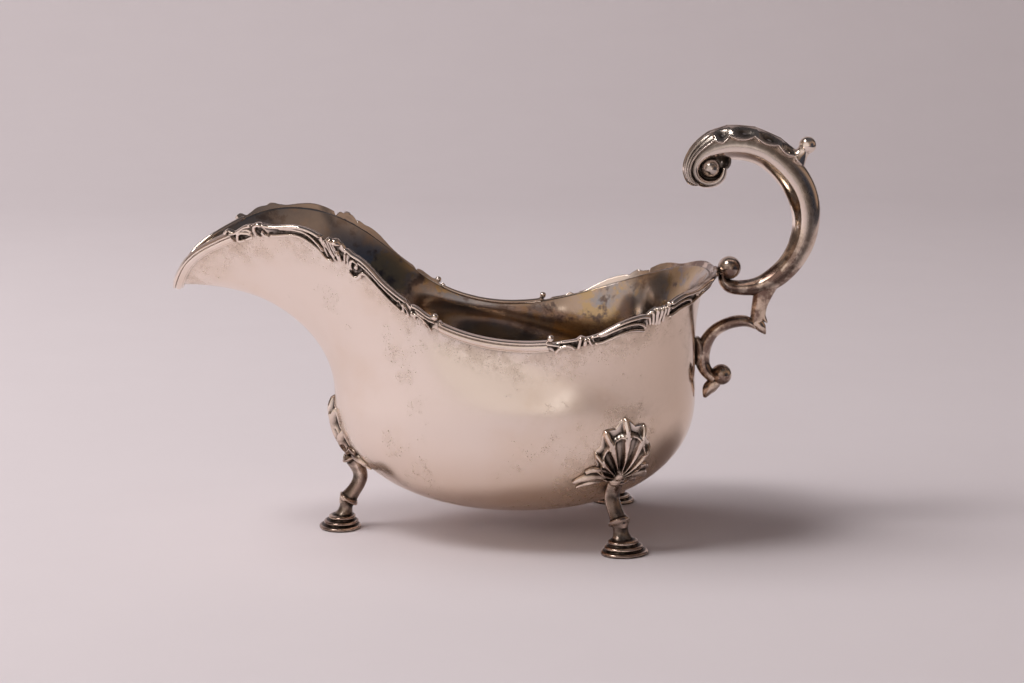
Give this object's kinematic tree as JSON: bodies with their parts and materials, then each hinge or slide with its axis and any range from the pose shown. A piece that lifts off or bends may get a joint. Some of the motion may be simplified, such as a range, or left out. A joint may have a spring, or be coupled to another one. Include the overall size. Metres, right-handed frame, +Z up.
{
  "type": "sauce boat",
  "caption": "Footed silver sauce boat with a long pouring spout, a cast scroll border, a flying double-scroll handle and shell-headed hoof feet.",
  "frame": {"origin": "under the middle of the whole object, on the surface the three hoof feet stand on", "axes": "+X towards the handle with the spout at -X, +Y to the right as seen from the handle, +Z up"},
  "size_m": [0.1777, 0.0786, 0.113],
  "materials": {
    "bowl_silver": "polished sheet silver, lightly tarnished, with faint pitting and fine wear",
    "cast_silver": "polished cast silver with dark tarnish left in the recesses"
  },
  "bodies": {
    "root": {"bowl": "bowl_silver", "lip_wire": "cast_silver", "front_scroll_right": "cast_silver", "front_scroll_left": "cast_silver", "shoulder_scroll_right": "cast_silver", "shoulder_scroll_left": "cast_silver", "shoulder_shell_right": "cast_silver", "shoulder_shell_left": "cast_silver", "waist_scroll_right": "cast_silver", "waist_scroll_left": "cast_silver", "waist_shell_right": "cast_silver", "waist_shell_left": "cast_silver", "side_wire_right": "cast_silver", "side_wire_left": "cast_silver", "rear_shell_right": "cast_silver", "rear_shell_left": "cast_silver", "rear_scroll_right": "cast_silver", "rear_scroll_left": "cast_silver", "quarter_shell_right": "cast_silver", "quarter_shell_left": "cast_silver", "back_scroll_right": "cast_silver", "back_scroll_left": "cast_silver", "handle_scroll": "cast_silver", "handle_leaf": "cast_silver", "handle_bracket": "cast_silver", "lower_scroll": "cast_silver", "front_leg": "cast_silver", "front_shell": "cast_silver", "left_leg": "cast_silver", "left_shell": "cast_silver", "right_leg": "cast_silver", "right_shell": "cast_silver"}
  },
  "joints": []
}
